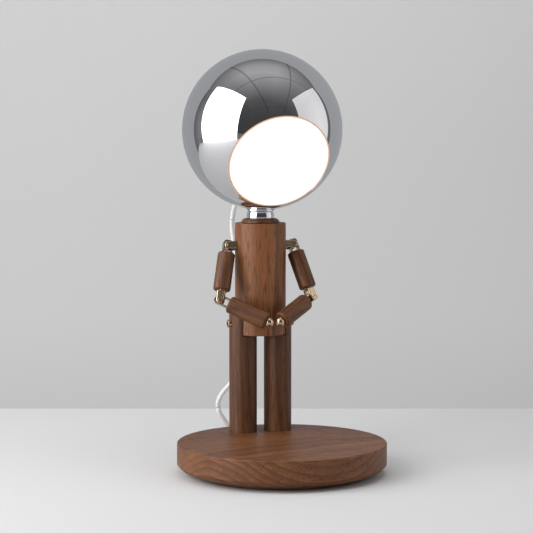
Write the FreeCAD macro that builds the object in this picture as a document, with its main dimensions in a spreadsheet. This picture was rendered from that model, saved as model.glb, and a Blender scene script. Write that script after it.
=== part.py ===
import FreeCAD, Part
import math
import os

import Sketcher
from FreeCAD import Placement, Rotation, Vector

doc = FreeCAD.newDocument("robot_desk_lamp")

# Driving sizes in millimetres and degrees.
# The figure faces -Y. The origin is the middle of the base's underside, on the table.
SIZES = {
    # base
    "base_radius": 100.0,
    "base_height": 29.0,
    "base_side_height": 20.0,
    "base_foot_radius": 85.0,
    "base_edge_round": 1.2,
    "pad_thickness": 2.0,
    "pad_proud": 1.0,
    "pad_radius": 82.0,
    "weight_radius": 56.0,
    "weight_thickness": 14.0,
    "weight_cover": 2.0,
    # legs and hips
    "figure_back": 66.7,
    "leg_radius": 13.6,
    "leg_offset": 17.9,
    "leg_length": 95.3,
    "lap_flat": 22.0,
    "lap_gap": 0.3,
    "hip_gap": 1.0,
    "hip_height": 10.8,
    "hip_screw_radius": 4.0,
    "hip_screw_head": 3.2,
    "hip_flange_radius": 4.6,
    "hip_flange": 0.9,
    "hip_shank_radius": 2.0,
    "hip_shank_length": 16.0,
    "hip_socket_radius": 2.1,
    "hip_socket_depth": 2.2,
    "hip_nut_radius": 3.5,
    "leg_screw_radius": 2.0,
    "leg_screw_head": 4.0,
    "leg_screw_length": 36.0,
    # torso
    "torso_radius": 25.0,
    "torso_length": 109.2,
    "torso_edge_round": 0.6,
    # neck
    "cap_foot_radius": 18.9,
    "cap_top_radius": 15.6,
    "cap_height": 4.2,
    "cap_spigot_radius": 15.0,
    "cap_spigot_depth": 16.0,
    "ball_radius": 13.5,
    "ball_above_torso": 6.3,
    "neck_pad_thickness": 0.8,
    "neck_pad_reach": 9.0,
    "neck_pad_gap": 0.15,
    "magnet_radius": 8.0,
    "magnet_thickness": 5.0,
    # head
    "head_radius": 78.0,
    "head_forward": 6.1,
    "head_above_ball": 84.4,
    "head_wall": 2.0,
    "head_tilt": 30.0,
    "light_depth": 59.9,
    "light_thickness": 3.0,
    "light_rim": 0.9,
    "light_rim_depth": 5.0,
    "collar_radius": 14.0,
    "collar_flange": 1.0,
    "collar_flange_level": 6.6,
    "collar_neck_radius": 13.0,
    "collar_top_wall": 2.0,
    "seat_gap": 0.3,
    "pan_plate_thickness": 1.5,
    "board_radius": 44.0,
    "board_thickness": 1.6,
    "board_gap": 14.0,
    "led_size": 2.8,
    "led_height": 0.8,
    "led_ring_radius": 32.0,
    "sink_radius": 36.0,
    "sink_fin": 2.0,
    "sink_height": 10.0,
    "driver_length": 46.0,
    "driver_width": 24.0,
    "driver_height": 18.0,
    # arms
    "shoulder_height": 22.2,
    "shoulder_reach": 33.6,
    "arm_swing": 19.9,
    "arm_raise": 13.5,
    "arm_twist": 20.9,
    "arm_bend": 70.4,
    "upper_arm_pitch": 55.7,
    "forearm_pitch": 52.6,
    "arm_radius": 8.4,
    "arm_edge_round": 2.2,
    "shoulder_gap": 7.4,
    "elbow_gap": 9.6,
    "hand_radius": 4.7,
    "hand_peg_radius": 1.6,
    "hand_peg_length": 8.0,
    "hand_seat": 2.6,
    # brass fittings
    "clevis_width": 7.6,
    "clevis_plate": 1.3,
    "clevis_edge_round": 1.0,
    "clevis_slot_depth": 7.1,
    "clevis_side_gap": 0.25,
    "clevis_face_gap": 0.15,
    "shank_radius": 2.5,
    "shank_length": 12.0,
    "socket_radius": 3.8,
    "socket_length": 13.0,
    "running_gap": 0.06,
    "strap_width": 6.2,
    "strap_span": 9.0,
    "strap_thickness": 1.2,
    "strap_end": 5.2,
    "strap_corner": 2.6,
    "strap_anchor": 9.0,
    "strap_fit": 0.05,
    "pin_radius": 1.3,
    "pin_head_radius": 1.95,
    "pin_head": 0.5,
    "pin_bore_radius": 0.7,
    # cord
    "cord_radius": 2.5,
    "gland_radius": 5.5,
    "gland_flange": 7.0,
    "gland_flange_thickness": 1.6,
    "gland_body": 6.0,
    "relief_length": 22.0,
    "cord_drop_angle": 40.0,
    "coil_outer_radius": 36.5,
    "coil_pitch": 5.6,
    "coil_layer_step": 5.5,
    "coil_first_angle": 105.0,
    "coil_turns": 6.5417,
    "coil_x": 53.5,
    "coil_y": 149.0,
    "tie_width": 8.0,
    "tie_thickness": 0.9,
    "tie_angle": 195.0,
    "switch_length": 50.0,
    "switch_width": 22.0,
    "switch_height": 15.0,
    "switch_round": 3.0,
    "switch_start": 24.0,
    "rocker_length": 17.0,
    "rocker_width": 9.0,
    "rocker_proud": 1.4,
    "rocker_gap": 0.4,
    "rocker_throw": 7.0,
    "plug_length": 34.0,
    "plug_width": 25.0,
    "plug_height": 13.6,
    "plug_pin_radius": 2.0,
    "plug_pin_length": 19.0,
    "plug_pin_spacing": 19.0,
}

sheet = doc.addObject("Spreadsheet::Sheet", "sizes")
for row, (word, value) in enumerate(SIZES.items(), start=1):
    sheet.set(f"A{row}", word)
    sheet.set(f"B{row}", str(value))
    sheet.setAlias(f"B{row}", word)
doc.recompute()


def size(word):
    return float(getattr(sheet, word))


def cells(words):
    """The same expression with every driving size read from the sheet."""
    out = ""
    token = ""
    for letter in words + " ":
        if letter.isalnum() or letter == "_":
            token += letter
            continue
        out += f"sizes.{token}" if token in SIZES else token
        out += letter
        token = ""
    return out.strip()


def worth(words):
    """The value of an expression of driving sizes."""
    return float(sheet.evalExpression(words))


def origin_plane(body, role):
    return next(f for f in body.Origin.OriginFeatures if f.Role == role)


def new_body(name):
    body = doc.addObject("PartDesign::Body", name)
    body.Label = name
    return body


def outline(body, name, role, points, offset=None):
    """A closed sketch on an origin plane, each corner tied to the driving sizes."""
    sketch = body.newObject("Sketcher::SketchObject", name)
    sketch.AttachmentSupport = [(origin_plane(body, role), "")]
    sketch.MapMode = "FlatFace"
    if offset:
        sketch.setExpression("AttachmentOffset.Base.z", cells(offset))
    spots = [Vector(worth(a), worth(b), 0) for a, b in points]
    for i, spot in enumerate(spots):
        sketch.addGeometry(Part.LineSegment(spot, spots[(i + 1) % len(spots)]), False)
    for i in range(len(spots)):
        sketch.addConstraint(Sketcher.Constraint("Coincident", i, 2, (i + 1) % len(spots), 1))
    for i, (a, b) in enumerate(points):
        for kind, words in (("DistanceX", a), ("DistanceY", b)):
            index = sketch.addConstraint(Sketcher.Constraint(kind, -1, 1, i, 1, worth(words)))
            sketch.setExpression(f"Constraints[{index}]", cells(words))
    return sketch


def round_outline(body, name, role, radius, spots=(("0", "0"),), offset=None):
    """A sketch of circles of one radius."""
    sketch = body.newObject("Sketcher::SketchObject", name)
    sketch.AttachmentSupport = [(origin_plane(body, role), "")]
    sketch.MapMode = "FlatFace"
    if offset:
        sketch.setExpression("AttachmentOffset.Base.z", cells(offset))
    for i, (a, b) in enumerate(spots):
        middle = Vector(worth(a), worth(b), 0)
        sketch.addGeometry(Part.Circle(middle, Vector(0, 0, 1), worth(radius)), False)
        index = sketch.addConstraint(Sketcher.Constraint("Radius", i, worth(radius)))
        sketch.setExpression(f"Constraints[{index}]", cells(radius))
        for kind, words in (("DistanceX", a), ("DistanceY", b)):
            index = sketch.addConstraint(Sketcher.Constraint(kind, -1, 1, i, 3, worth(words)))
            sketch.setExpression(f"Constraints[{index}]", cells(words))
    return sketch


def turned(name, points):
    """A body turned about Z from (radius, height) corners."""
    body = new_body(name)
    sketch = outline(body, name + "_outline", "XZ_Plane", points)
    turn = body.newObject("PartDesign::Revolution", name + "_turn")
    turn.Profile = sketch
    turn.ReferenceAxis = (sketch, ["V_Axis"])
    turn.Angle = 360
    doc.recompute()
    return body


def padded(name, role, points, length, offset=None, midplane=False):
    """A body padded from an outline."""
    body = new_body(name)
    sketch = outline(body, name + "_outline", role, points, offset)
    pad = body.newObject("PartDesign::Pad", name + "_pad")
    pad.Profile = sketch
    pad.setExpression("Length", cells(length))
    pad.Midplane = midplane
    doc.recompute()
    return body


def drill(body, sketch, length=None, midplane=False, reverse=False, grow=False):
    """A pocket (or a pad) from a sketch, checked by volume."""
    before = body.Shape.Volume
    kind = "PartDesign::Pad" if grow else "PartDesign::Pocket"
    feature = body.newObject(kind, sketch.Name + ("_boss" if grow else "_cut"))
    feature.Profile = sketch
    if length is None:
        feature.Type = 1
    else:
        feature.setExpression("Length", cells(length))
    feature.Midplane = midplane
    feature.Reversed = reverse
    doc.recompute()
    changed = body.Shape.Volume - before
    if abs(changed) < 1e-6 or (changed > 0) != grow:
        raise ValueError(f"{sketch.Name} changed nothing")
    return feature


def groove(body, name, points):
    """A groove turned about the body's Z axis."""
    before = body.Shape.Volume
    sketch = outline(body, name, "XZ_Plane", points)
    feature = body.newObject("PartDesign::Groove", name + "_cut")
    feature.Profile = sketch
    feature.ReferenceAxis = (sketch, ["V_Axis"])
    feature.Angle = 360
    doc.recompute()
    if before - body.Shape.Volume < 1e-6:
        raise ValueError(f"{name} cut nothing")
    return feature


def rounded(body, name, radius, wanted):
    """A fillet on the edges that a test picks."""
    doc.recompute()
    base = body.Tip
    edges = [f"Edge{i}" for i, edge in enumerate(base.Shape.Edges, start=1) if wanted(edge)]
    if not edges:
        raise ValueError(f"{name} found no edge")
    feature = body.newObject("PartDesign::Fillet", name)
    feature.Base = (base, edges)
    feature.setExpression("Radius", cells(radius))
    doc.recompute()
    return feature


def at_height(words):
    """A test for an edge that lies at one height of its own body."""
    level = worth(words)
    return lambda edge: all(abs(v.Z - level) < 1e-4 for v in edge.Vertexes)


def primitive(kind, name, **sizes):
    thing = doc.addObject("Part::" + kind, name)
    thing.Label = name
    for key, words in sizes.items():
        thing.setExpression(key, cells(words))
    return thing


def cut(name, base, tool):
    result = doc.addObject("Part::Cut", name)
    result.Label = name
    result.Base = base
    result.Tool = tool
    return result


def fuse(name, *pieces):
    result = doc.addObject("Part::MultiFuse", name)
    result.Label = name
    result.Shapes = list(pieces)
    return result


def group(name, shapes):
    """Separate solids of one kind kept as one sub-part."""
    result = doc.addObject("Part::Feature", name)
    result.Label = name
    result.Shape = Part.makeCompound(shapes)
    return result


def frame(place, along, across):
    """A placement with local Z along one way and local Y across it."""
    z = Vector(along).normalize()
    y = (across - z * across.dot(z)).normalize()
    x = y.cross(z)
    turn = FreeCAD.Matrix(x.x, y.x, z.x, 0, x.y, y.y, z.y, 0, x.z, y.z, z.z, 0, 0, 0, 0, 1)
    return Placement(place, Placement(turn).Rotation)


def turned_about(way, axis, degrees):
    return Rotation(axis, degrees).multVec(way)


# Places worked out from the driving sizes
UP = Vector(0, 0, 1)
FRONT = Vector(0, -1, 0)
base_level = size("pad_proud")
base_top = base_level + size("base_height")
figure = Vector(0, size("figure_back"), base_top)
torso_foot = figure + UP * (size("leg_length") + size("hip_gap"))
torso_top = torso_foot + UP * size("torso_length")
ball_middle = torso_top + UP * size("ball_above_torso")
head_middle = ball_middle + UP * size("head_above_ball") + FRONT * size("head_forward")
light_way = Vector(0, -math.cos(math.radians(size("head_tilt"))), -math.sin(math.radians(size("head_tilt"))))
cord_way = Vector(
    0,
    math.cos(math.radians(size("cord_drop_angle"))),
    -math.sin(math.radians(size("cord_drop_angle"))),
)
neck_way = (head_middle - ball_middle).normalize()

parts = []


def keep(thing, placement=None):
    if placement is not None:
        thing.Placement = placement
    parts.append(thing)
    return thing


# Base: a turned disc with a bevelled underside, a steel weight let in from below and a pad
BASE_PROFILE = [
    ("0", "0"),
    ("base_foot_radius", "0"),
    ("base_radius - 3.2", "base_height - base_side_height - 3.6"),
    ("base_radius", "base_height - base_side_height"),
    ("base_radius", "base_height"),
    ("0", "base_height"),
]
base_disc = turned("base_blank", BASE_PROFILE)
rounded(base_disc, "base_top_edge", "base_edge_round", at_height("base_height"))
groove(
    base_disc,
    "pad_recess",
    [
        ("0", "-1"),
        ("pad_radius + lap_gap", "-1"),
        ("pad_radius + lap_gap", "pad_thickness - pad_proud"),
        ("0", "pad_thickness - pad_proud"),
    ],
)
weight_floor = "pad_thickness - pad_proud"
weight_roof = "pad_thickness - pad_proud + weight_thickness + weight_cover"
groove(
    base_disc,
    "weight_recess",
    [
        ("0", weight_floor),
        ("weight_radius + lap_gap", weight_floor),
        ("weight_radius + lap_gap", weight_roof),
        ("0", weight_roof),
    ],
)
for side, word in ((-1, "left"), (1, "right")):
    hole = round_outline(
        base_disc,
        f"leg_screw_hole_{word}",
        "XY_Plane",
        "leg_screw_radius",
        [(f"{side} * leg_offset", "figure_back")],
        "0",
    )
    drill(base_disc, hole, "base_height + 1", midplane=False, reverse=True)
countersinks = []
for side, word in ((-1, "left"), (1, "right")):
    cone = primitive(
        "Cone",
        f"countersink_{word}",
        Radius1="leg_screw_head + strap_fit",
        Radius2="leg_screw_radius",
        Height="leg_screw_head - leg_screw_radius",
    )
    cone.Placement = Placement(
        Vector(side * size("leg_offset"), size("figure_back"), size("pad_thickness") - size("pad_proud")),
        Rotation(),
    )
    countersinks.append(cone)
base_disc = cut("base_disc", base_disc, fuse("countersinks", *countersinks))
keep(base_disc, Placement(Vector(0, 0, base_level), Rotation()))


# Weight and pad under the base
base_weight = primitive("Cylinder", "base_weight", Radius="weight_radius", Height="weight_thickness")
weight_level = base_level + size("pad_thickness") - size("pad_proud") + size("weight_cover")
keep(base_weight, Placement(UP * weight_level, Rotation()))
base_pad = primitive("Cylinder", "base_pad", Radius="pad_radius", Height="pad_thickness")
keep(base_pad)

# Legs: each a round post whose top is cut to a rounded cheek beside the torso
leg_top = "leg_length + hip_gap + hip_height"
cheek_level = worth(leg_top)
for side, word in ((-1, "left"), (1, "right")):
    post = primitive("Cylinder", f"post_{word}", Radius="leg_radius", Height="leg_length")
    full = primitive("Cylinder", f"cheek_round_{word}", Radius="leg_radius", Height=leg_top + " + leg_radius")
    slab = primitive(
        "Box",
        f"cheek_slab_{word}",
        Length="leg_radius",
        Width="2 * leg_radius",
        Height=leg_top,
    )
    inner = size("lap_flat") + size("lap_gap") - size("leg_offset")
    slab.Placement = Placement(
        Vector(inner if side > 0 else -inner - size("leg_radius"), -size("leg_radius"), 0), Rotation()
    )
    crown = primitive("Cylinder", f"cheek_crown_{word}", Radius="leg_radius", Height="leg_radius")
    crown.Placement = frame(Vector(side * inner, 0, cheek_level), Vector(side, 0, 0), UP)
    shape = fuse(f"cheek_shape_{word}", slab, crown)
    cheek = doc.addObject("Part::Common", f"cheek_{word}")
    cheek.Base = full
    cheek.Tool = shape
    leg_blank = fuse(f"leg_blank_{word}", post, cheek)
    hip_hole = primitive("Cylinder", f"hip_hole_{word}", Radius="hip_nut_radius + strap_fit", Height="2 * leg_radius")
    hip_hole.Placement = frame(Vector(0, 0, cheek_level), Vector(side, 0, 0), UP)
    spot = primitive("Cylinder", f"hip_spot_{word}", Radius="hip_flange_radius + lap_gap", Height="leg_radius")
    spot.Placement = frame(
        Vector(side * (size("leg_radius") - 1), 0, cheek_level), Vector(side, 0, 0), UP
    )
    screw_hole = primitive(
        "Cylinder", f"leg_screw_seat_{word}", Radius="leg_screw_radius", Height="leg_screw_length - base_height + 8"
    )
    leg = cut(f"leg_{word}", leg_blank, fuse(f"leg_holes_{word}", hip_hole, spot, screw_hole))
    keep(leg, Placement(figure + Vector(side * size("leg_offset"), 0, 0), Rotation()))

# Screws up through the base into the legs, seated above the weight recess's rim
screw_shapes = []
screw_level = base_level + size("pad_thickness") - size("pad_proud")
for side in (-1, 1):
    spot = Vector(side * size("leg_offset"), size("figure_back"), screw_level)
    shank = Part.makeCylinder(size("leg_screw_radius") - size("strap_fit"), size("leg_screw_length"), spot)
    head_depth = size("leg_screw_head") - size("leg_screw_radius")
    head = Part.makeCone(size("leg_screw_head"), size("leg_screw_radius"), head_depth, spot)
    screw_shapes.append(shank.fuse(head).removeSplitter())
leg_screws = keep(group("leg_screws", screw_shapes))

# Torso: a turned post with two flats for the legs' cheeks
torso = turned(
    "torso",
    [("0", "0"), ("torso_radius", "0"), ("torso_radius", "torso_length"), ("0", "torso_length")],
)
rounded(torso, "torso_edges", "torso_edge_round", lambda edge: edge.Curve.TypeId == "Part::GeomCircle")
flat_top = "hip_height + leg_radius + hip_gap"
for side, word in ((-1, "left"), (1, "right")):
    flat = outline(
        torso,
        f"lap_{word}",
        "XZ_Plane",
        [
            (f"{side} * lap_flat", "-1"),
            (f"{side} * (torso_radius + 1)", "-1"),
            (f"{side} * (torso_radius + 1)", flat_top),
            (f"{side} * lap_flat", flat_top),
        ],
    )
    drill(torso, flat, "2 * torso_radius + 4", midplane=True)
drill(
    torso,
    round_outline(torso, "hip_bore", "YZ_Plane", "hip_nut_radius + strap_fit", [("0", "hip_height")]),
    "2 * torso_radius + 4",
    midplane=True,
)
drill(
    torso,
    round_outline(torso, "shoulder_bore", "YZ_Plane", "socket_radius", [("0", "torso_length - shoulder_height")]),
    "2 * torso_radius + 4",
    midplane=True,
)
groove(
    torso,
    "neck_recess",
    [
        ("0", "torso_length - cap_spigot_depth"),
        ("cap_spigot_radius + strap_fit", "torso_length - cap_spigot_depth"),
        ("cap_spigot_radius + strap_fit", "torso_length + 1"),
        ("0", "torso_length + 1"),
    ],
)
keep(torso, Placement(torso_foot, Rotation()))

# Hip bolt: a brass tube nut through the torso and a socket screw in each end
hip_middle = torso_foot + UP * size("hip_height")
nut_half = size("leg_offset") + size("leg_radius") - 1 - size("hip_flange") - 6
hip_nut = primitive("Cylinder", "hip_nut_rod", Radius="hip_nut_radius", Height="2 * (leg_offset + leg_radius - 9)")
hip_thread = primitive(
    "Cylinder", "hip_nut_thread", Radius="hip_shank_radius", Height="2 * (leg_offset + leg_radius - 9)"
)
hip_tube = cut("hip_nut", hip_nut, hip_thread)
nut_length = worth("2 * (leg_offset + leg_radius - 9)")
keep(hip_tube, frame(hip_middle - Vector(nut_length / 2, 0, 0), Vector(1, 0, 0), UP))
hip_shapes = []
for side in (-1, 1):
    out = Vector(side, 0, 0)
    seat = hip_middle + out * (size("leg_offset") + size("leg_radius") - 1)
    flange = Part.makeCylinder(size("hip_flange_radius"), size("hip_flange"), seat, out)
    head = Part.makeCylinder(size("hip_screw_radius"), size("hip_screw_head"), seat, out)
    head = head.makeFillet(0.4, [e for e in head.Edges if abs((e.CenterOfMass - seat).dot(out) - size("hip_screw_head")) < 1e-3])
    shank = Part.makeCylinder(
        size("hip_shank_radius") - size("strap_fit"), size("hip_shank_length"), seat, out * -1
    )
    corners = [
        seat
        + out * (size("hip_screw_head") - size("hip_socket_depth"))
        + turned_about(UP, Vector(1, 0, 0), 60 * k) * size("hip_socket_radius")
        for k in range(6)
    ]
    hexagon = Part.Face(Part.makePolygon(corners + corners[:1])).extrude(out * (size("hip_socket_depth") + 1))
    hip_shapes.append(shank.fuse([flange, head]).cut(hexagon).removeSplitter())
hip_screws = keep(group("hip_screws", hip_shapes))

# Neck: a walnut cap with a dish, a magnet under it, a felt pad and a plain steel ball
cap_blank = turned(
    "cap_blank",
    [
        ("0", "-cap_spigot_depth"),
        ("cap_spigot_radius", "-cap_spigot_depth"),
        ("cap_spigot_radius", "0"),
        ("cap_foot_radius - 0.6", "0"),
        ("cap_foot_radius", "0.6"),
        ("cap_foot_radius - 0.7", "0.55 * cap_height"),
        ("cap_top_radius + 1.1", "cap_height - 0.4"),
        ("cap_top_radius", "cap_height"),
        ("0", "cap_height"),
    ],
)
groove(
    cap_blank,
    "magnet_pocket",
    [
        ("0", "-cap_spigot_depth - 1"),
        ("magnet_radius + strap_fit", "-cap_spigot_depth - 1"),
        ("magnet_radius + strap_fit", "magnet_thickness - cap_spigot_depth + strap_fit"),
        ("0", "magnet_thickness - cap_spigot_depth + strap_fit"),
    ],
)
dish = primitive("Sphere", "neck_dish", Radius="ball_radius + 2 * neck_pad_gap + neck_pad_thickness")
dish.Placement = Placement(UP * size("ball_above_torso"), Rotation())
keep(cut("neck_cap", cap_blank, dish), Placement(torso_top, Rotation()))
neck_magnet = primitive("Cylinder", "neck_magnet", Radius="magnet_radius", Height="magnet_thickness")
keep(neck_magnet, Placement(torso_top - UP * size("cap_spigot_depth"), Rotation()))
pad_outer = primitive("Sphere", "pad_outer", Radius="ball_radius + neck_pad_gap + neck_pad_thickness")
pad_inner = primitive("Sphere", "pad_inner", Radius="ball_radius + neck_pad_gap")
pad_shell = cut("pad_shell", pad_outer, pad_inner)
pad_reach = primitive("Cylinder", "pad_reach", Radius="neck_pad_reach", Height="2 * ball_radius")
pad_reach.Placement = Placement(UP * -2 * size("ball_radius"), Rotation())
neck_pad = doc.addObject("Part::Common", "neck_pad")
neck_pad.Label = "neck_pad"
neck_pad.Base = pad_shell
neck_pad.Tool = pad_reach
keep(neck_pad, Placement(ball_middle, Rotation()))
keep(primitive("Sphere", "neck_ball", Radius="ball_radius"), Placement(ball_middle, Rotation()))

# Head: a thin chromed shell, open at the light, with a seat for the ball and a cord gland
head_ball_span = (head_middle - ball_middle).Length
neck_frame = frame(ball_middle, neck_way, Vector(1, 0, 0))
light_frame = frame(head_middle, light_way, Vector(1, 0, 0))
cord_frame = frame(head_middle, cord_way, Vector(1, 0, 0))
shell_outer = primitive("Sphere", "shell_outer", Radius="head_radius")
shell_inner = primitive("Sphere", "shell_inner", Radius="head_radius - head_wall")
shell_outer.Placement = light_frame
shell_inner.Placement = light_frame
shell = cut("shell_hollow", shell_outer, shell_inner)
mouth = primitive("Cylinder", "shell_mouth", Radius="head_radius", Height="head_radius")
mouth.Placement = light_frame.multiply(Placement(UP * size("light_depth"), Rotation()))
light_radius = math.sqrt(size("head_radius") ** 2 - size("light_depth") ** 2)
MOUTH = "sqrt(head_radius ^ 2 - light_depth ^ 2)"
lip = primitive("Cylinder", "shell_lip", Radius=MOUTH + " - light_rim", Height="2 * light_rim_depth")
lip.Placement = light_frame.multiply(Placement(UP * (size("light_depth") - size("light_rim_depth")), Rotation()))
neck_opening = primitive("Cylinder", "neck_opening", Radius="collar_neck_radius + strap_fit", Height="ball_radius")
neck_opening.Placement = neck_frame
gland_opening = primitive("Cylinder", "gland_opening", Radius="gland_radius + strap_fit", Height="head_radius")
gland_opening.Placement = cord_frame.multiply(Placement(UP * size("head_radius") / 2, Rotation()))
openings = fuse("shell_openings", mouth, lip, neck_opening, gland_opening)
keep(cut("head_shell", shell, openings))

# Light: ring, diffuser, pan, board with its lamps, heat sink and driver, all square to the light
RING_OUT = MOUTH + " - light_rim - strap_fit"
RING_IN = MOUTH + " - 2 * light_rim"
keep(
    turned(
        "light_ring",
        [
            (RING_IN, "light_depth - light_rim_depth + 0.5"),
            (RING_OUT, "light_depth - light_rim_depth + 0.5"),
            (RING_OUT, "light_depth + 0.3"),
            (RING_IN, "light_depth + 0.3"),
        ],
    ),
    light_frame,
)
diffuser = turned(
    "diffuser",
    [
        ("0", "light_depth - light_thickness"),
        (RING_IN + " - strap_fit", "light_depth - light_thickness"),
        (RING_IN + " - strap_fit", "light_depth"),
        ("0", "light_depth"),
    ],
)
keep(diffuser, light_frame)
PAN_LEVEL = "light_depth - light_thickness - board_gap"
keep(
    turned(
        "light_pan",
        [
            ("0", PAN_LEVEL),
            (RING_IN + " - 1", PAN_LEVEL),
            (RING_IN + " - 1", "light_depth - light_thickness"),
            (RING_IN + " - 1 - pan_plate_thickness", "light_depth - light_thickness"),
            (RING_IN + " - 1 - pan_plate_thickness", PAN_LEVEL + " + pan_plate_thickness"),
            ("0", PAN_LEVEL + " + pan_plate_thickness"),
        ],
    ),
    light_frame,
)
board_level = worth(PAN_LEVEL + " + pan_plate_thickness")
board = Part.makeCylinder(size("board_radius"), size("board_thickness"), UP * board_level)
lamp_count = 12
for k in range(lamp_count):
    way = turned_about(Vector(1, 0, 0), UP, 360 / lamp_count * k)
    for share in (0.45, 1.0):
        lamp = Part.makeBox(size("led_size"), size("led_size"), size("led_height"))
        spot = way * size("led_ring_radius") * share + UP * (board_level + size("board_thickness"))
        lamp.translate(spot - Vector(1, 1, 0) * size("led_size") / 2)
        board = board.fuse(lamp)
keep(group("led_board", [board.removeSplitter()]), light_frame)
SINK_LEVEL = PAN_LEVEL + " - sink_height"
sink_corners = [
    ("0", SINK_LEVEL + " + sink_height - sink_fin"),
]
sink = padded(
    "heat_sink",
    "XZ_Plane",
    [
        ("-0.7 * sink_radius", PAN_LEVEL),
        ("-0.7 * sink_radius", PAN_LEVEL + " - sink_fin"),
        ("0.7 * sink_radius", PAN_LEVEL + " - sink_fin"),
        ("0.7 * sink_radius", PAN_LEVEL),
    ],
    "1.4 * sink_radius",
    midplane=True,
)
for k in range(-3, 4):
    fin = outline(
        sink,
        f"fin_{k + 4}",
        "XZ_Plane",
        [
            (f"{k} * sink_radius / 5 - sink_fin / 2", PAN_LEVEL + " - sink_fin"),
            (f"{k} * sink_radius / 5 + sink_fin / 2", PAN_LEVEL + " - sink_fin"),
            (f"{k} * sink_radius / 5 + sink_fin / 2", SINK_LEVEL),
            (f"{k} * sink_radius / 5 - sink_fin / 2", SINK_LEVEL),
        ],
    )
    drill(sink, fin, "1.4 * sink_radius", midplane=True, grow=True)
keep(sink, light_frame)
driver = primitive("Box", "driver_case", Length="driver_length", Width="driver_width", Height="driver_height")
driver_edge = doc.addObject("Part::Fillet", "led_driver")
driver_edge.Label = "led_driver"
driver_edge.Base = driver
doc.recompute()
driver_edge.Edges = [(i, 1.5, 1.5) for i in range(1, 13)]
driver_spot = Vector(
    -size("driver_length") / 2, -size("driver_width") / 2, worth(SINK_LEVEL) - size("driver_height")
)
keep(driver_edge, light_frame.multiply(Placement(driver_spot, Rotation())))

# Neck collar with its spherical seat and the magnet above it
collar_flange = primitive("Cylinder", "collar_plate", Radius="collar_radius", Height="collar_flange")
collar_flange.Placement = Placement(UP * size("collar_flange_level"), Rotation())
collar_cup = primitive(
    "Cylinder",
    "collar_cup",
    Radius="collar_neck_radius",
    Height="ball_radius + seat_gap + collar_top_wall - collar_flange_level",
)
collar_cup.Placement = Placement(UP * size("collar_flange_level"), Rotation())
collar_seat = primitive("Sphere", "collar_seat", Radius="ball_radius + seat_gap")
keep(cut("neck_collar", fuse("collar_blank", collar_flange, collar_cup), collar_seat), neck_frame)
head_magnet = primitive("Cylinder", "head_magnet", Radius="magnet_radius", Height="magnet_thickness")
magnet_level = size("ball_radius") + size("seat_gap") + size("collar_top_wall")
keep(head_magnet, neck_frame.multiply(Placement(UP * magnet_level, Rotation())))

# Cord gland and its ribbed strain relief
RIB_COUNT = 5
GLAND_SEAT = "sqrt(head_radius ^ 2 - gland_radius ^ 2)"
RELIEF_FOOT = GLAND_SEAT + " + gland_flange_thickness"
relief = [
    ("0", "head_radius - gland_body"),
    ("gland_radius", "head_radius - gland_body"),
    ("gland_radius", GLAND_SEAT),
    ("gland_flange", GLAND_SEAT),
    ("gland_flange", RELIEF_FOOT + " - 0.4"),
    ("gland_flange - 0.4", RELIEF_FOOT),
]
for k in range(RIB_COUNT):
    low = f"{RELIEF_FOOT} + relief_length * {k} / {RIB_COUNT}"
    high = f"{RELIEF_FOOT} + relief_length * {k + 0.62} / {RIB_COUNT}"
    rib = f"cord_radius + 2.2 - 1.5 * {k} / {RIB_COUNT}"
    relief.append((rib, low))
    relief.append((rib, high))
    relief.append(("cord_radius + 0.4", high))
    relief.append(("cord_radius + 0.4", f"{RELIEF_FOOT} + relief_length * {k + 1} / {RIB_COUNT}"))
relief.append(("0", RELIEF_FOOT + " + relief_length"))
keep(turned("cord_gland", relief), cord_frame)


def brass_clevis(name, place):
    """A fork with rounded edges on a round shank. Its pin lies along Y through the origin."""
    depth = "strap_width + 2 * clevis_side_gap + 2 * clevis_plate"
    foot = "-clevis_slot_depth - clevis_plate"
    fork = padded(
        name,
        "XZ_Plane",
        [
            ("-clevis_width / 2", foot),
            ("clevis_width / 2", foot),
            ("clevis_width / 2", "clevis_width / 2"),
            ("-clevis_width / 2", "clevis_width / 2"),
        ],
        depth,
        midplane=True,
    )
    top = worth("clevis_width / 2")
    rounded(
        fork,
        name + "_end",
        "clevis_width / 2 - 0.02",
        lambda e: all(abs(v.Z - top) < 1e-4 for v in e.Vertexes) and abs(e.Vertexes[0].X - e.Vertexes[-1].X) < 1e-4,
    )
    front = worth(depth) / 2
    low = worth(foot)
    rounded(
        fork,
        name + "_edges",
        "clevis_edge_round",
        lambda e: all(abs(abs(v.Y) - front) < 1e-4 for v in e.Vertexes)
        and not all(abs(v.Z - low) < 1e-4 for v in e.Vertexes)
        and abs(e.Vertexes[0].Y - e.Vertexes[-1].Y) < 1e-4,
    )
    slot = outline(
        fork,
        name + "_slot",
        "YZ_Plane",
        [
            ("-strap_width / 2 - clevis_side_gap", "-clevis_slot_depth"),
            ("strap_width / 2 + clevis_side_gap", "-clevis_slot_depth"),
            ("strap_width / 2 + clevis_side_gap", "clevis_width"),
            ("-strap_width / 2 - clevis_side_gap", "clevis_width"),
        ],
    )
    drill(fork, slot, "clevis_width + 2", midplane=True)
    hole = round_outline(fork, name + "_pin_hole", "XZ_Plane", "pin_radius", [("0", "0")])
    drill(fork, hole, "2 * clevis_width", midplane=True)
    shank = round_outline(fork, name + "_shank", "XY_Plane", "shank_radius", [("0", "0")], foot)
    drill(fork, shank, "shank_length", reverse=True, grow=True)
    return keep(fork, place)


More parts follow.
